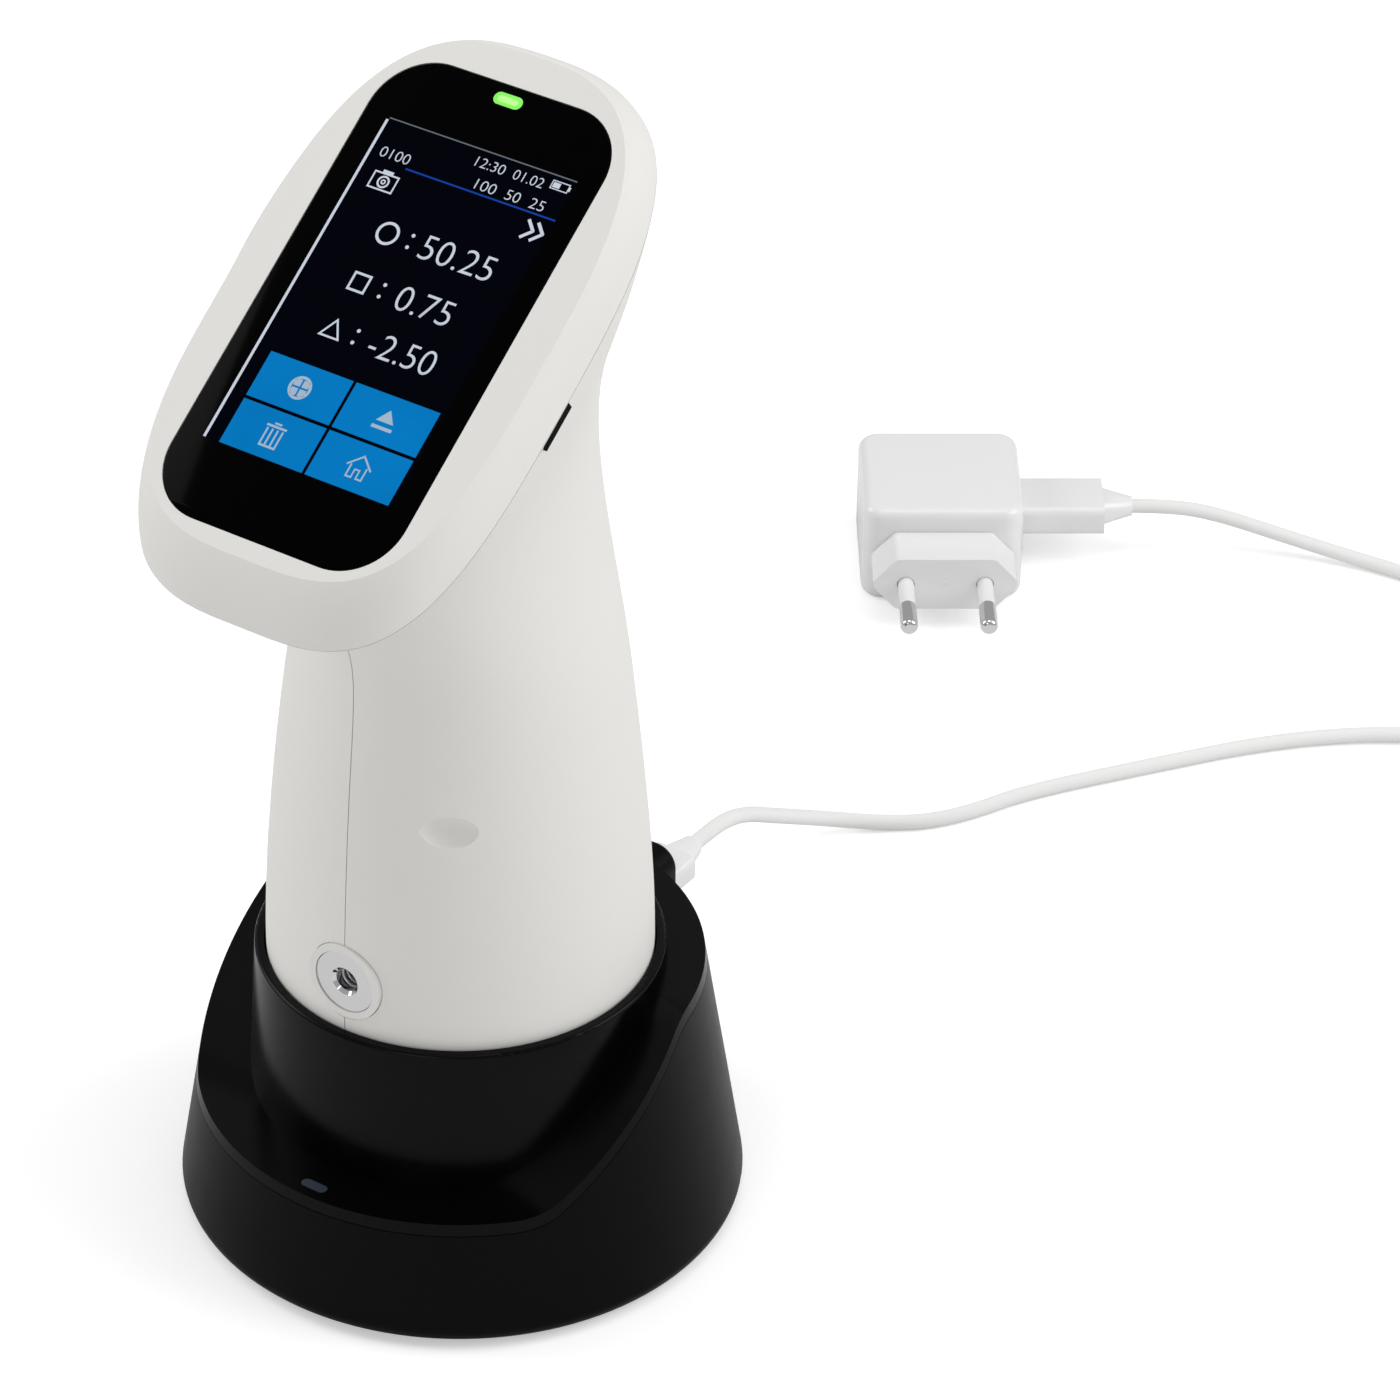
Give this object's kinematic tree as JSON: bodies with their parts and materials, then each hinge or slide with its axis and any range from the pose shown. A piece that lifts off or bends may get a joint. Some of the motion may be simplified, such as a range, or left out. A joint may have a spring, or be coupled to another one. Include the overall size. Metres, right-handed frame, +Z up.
{
  "type": "color spectrophotometer",
  "caption": "Hand-held color spectrophotometer with a tilted touch screen, standing in a round charging base with a white cord and a wall adapter.",
  "frame": {"origin": "on the floor, on the centre line of the round charging base, at the underside of its rubber foot ring", "axes": "+Z up; the screen faces -Y and up; the cord leaves the back of the base towards +Y"},
  "size_m": [0.2179, 0.3855, 0.2524],
  "materials": {
    "white_housing": "fine satin grain",
    "black_base": "satin",
    "black_gloss": "polished",
    "screen_glass": "polished",
    "display": "glossy",
    "green_light": "clear",
    "grey_light": "clear",
    "circuit_board": "solder mask",
    "bright_steel": "polished",
    "plain_steel": "plain",
    "gold_contact": "plated",
    "sphere_white": "flat",
    "module_alloy": "anodised",
    "battery_wrap": "shrink film",
    "switch_black": "plain",
    "tile_ceramic": "glazed",
    "foot_rubber": "matt",
    "cord_white": "smooth",
    "adapter_white": "polished",
    "tie_black": "woven"
  },
  "bodies": {
    "base": {"base_skirt": "black_base", "base_top_cover": "black_gloss", "base_light": "grey_light", "calibration_tile": "tile_ceramic", "tile_holder": "switch_black", "contact_barrels": "gold_contact", "contact_board": "circuit_board", "base_bottom_plate": "black_base", "base_foot_ring": "foot_rubber", "base_usb_socket": "plain_steel", "socket_board": "circuit_board", "base_screws": "plain_steel", "base_plug_grip": "adapter_white", "base_plug_tip": "bright_steel", "cord_coil": "cord_white", "cord_from_base": "cord_white", "coil_tie": "tie_black", "adapter_body": "adapter_white", "mains_plug_head": "adapter_white", "mains_pins": "bright_steel", "pin_sleeves": "adapter_white", "usb_a_grip": "adapter_white", "usb_a_shell": "bright_steel", "cord_to_adapter": "cord_white"},
    "instrument": {"front_bezel": "white_housing", "screen_glass": "screen_glass", "display_panel": "display", "screen_light": "green_light", "right_handle_shell": "white_housing", "left_handle_shell": "white_housing", "main_board": "circuit_board", "service_port": "plain_steel", "tripod_insert": "bright_steel", "insert_trim_ring": "white_housing", "measuring_end_cover": "black_base", "aperture_ring": "switch_black", "integrating_sphere": "sphere_white", "lamp_board": "circuit_board", "spectrometer_module": "module_alloy", "battery_pack": "battery_wrap", "cover_screws": "plain_steel", "charging_pads": "gold_contact", "button_switch": "switch_black", "button_board": "circuit_board"},
    "button": {"measure_button": "white_housing"},
    "charge_pins": {"contact_pins": "gold_contact"}
  },
  "joints": [
    {"name": "instrument_lift", "type": "slide", "parent": "base", "child": "instrument", "axis": [0, 0, 1], "range_m": [0, 0.06]},
    {"name": "measure_press", "type": "slide", "parent": "instrument", "child": "button", "axis": [0, -1, 0], "range_m": [0, 0.001], "stiffness_N_per_m": 1500, "springref_m": -0.0006},
    {"name": "charge_pin_press", "type": "slide", "parent": "base", "child": "charge_pins", "axis": [0, 0, -1], "range_m": [0, 0.0006], "stiffness_N_per_m": 900, "springref_m": -0.0004}
  ]
}
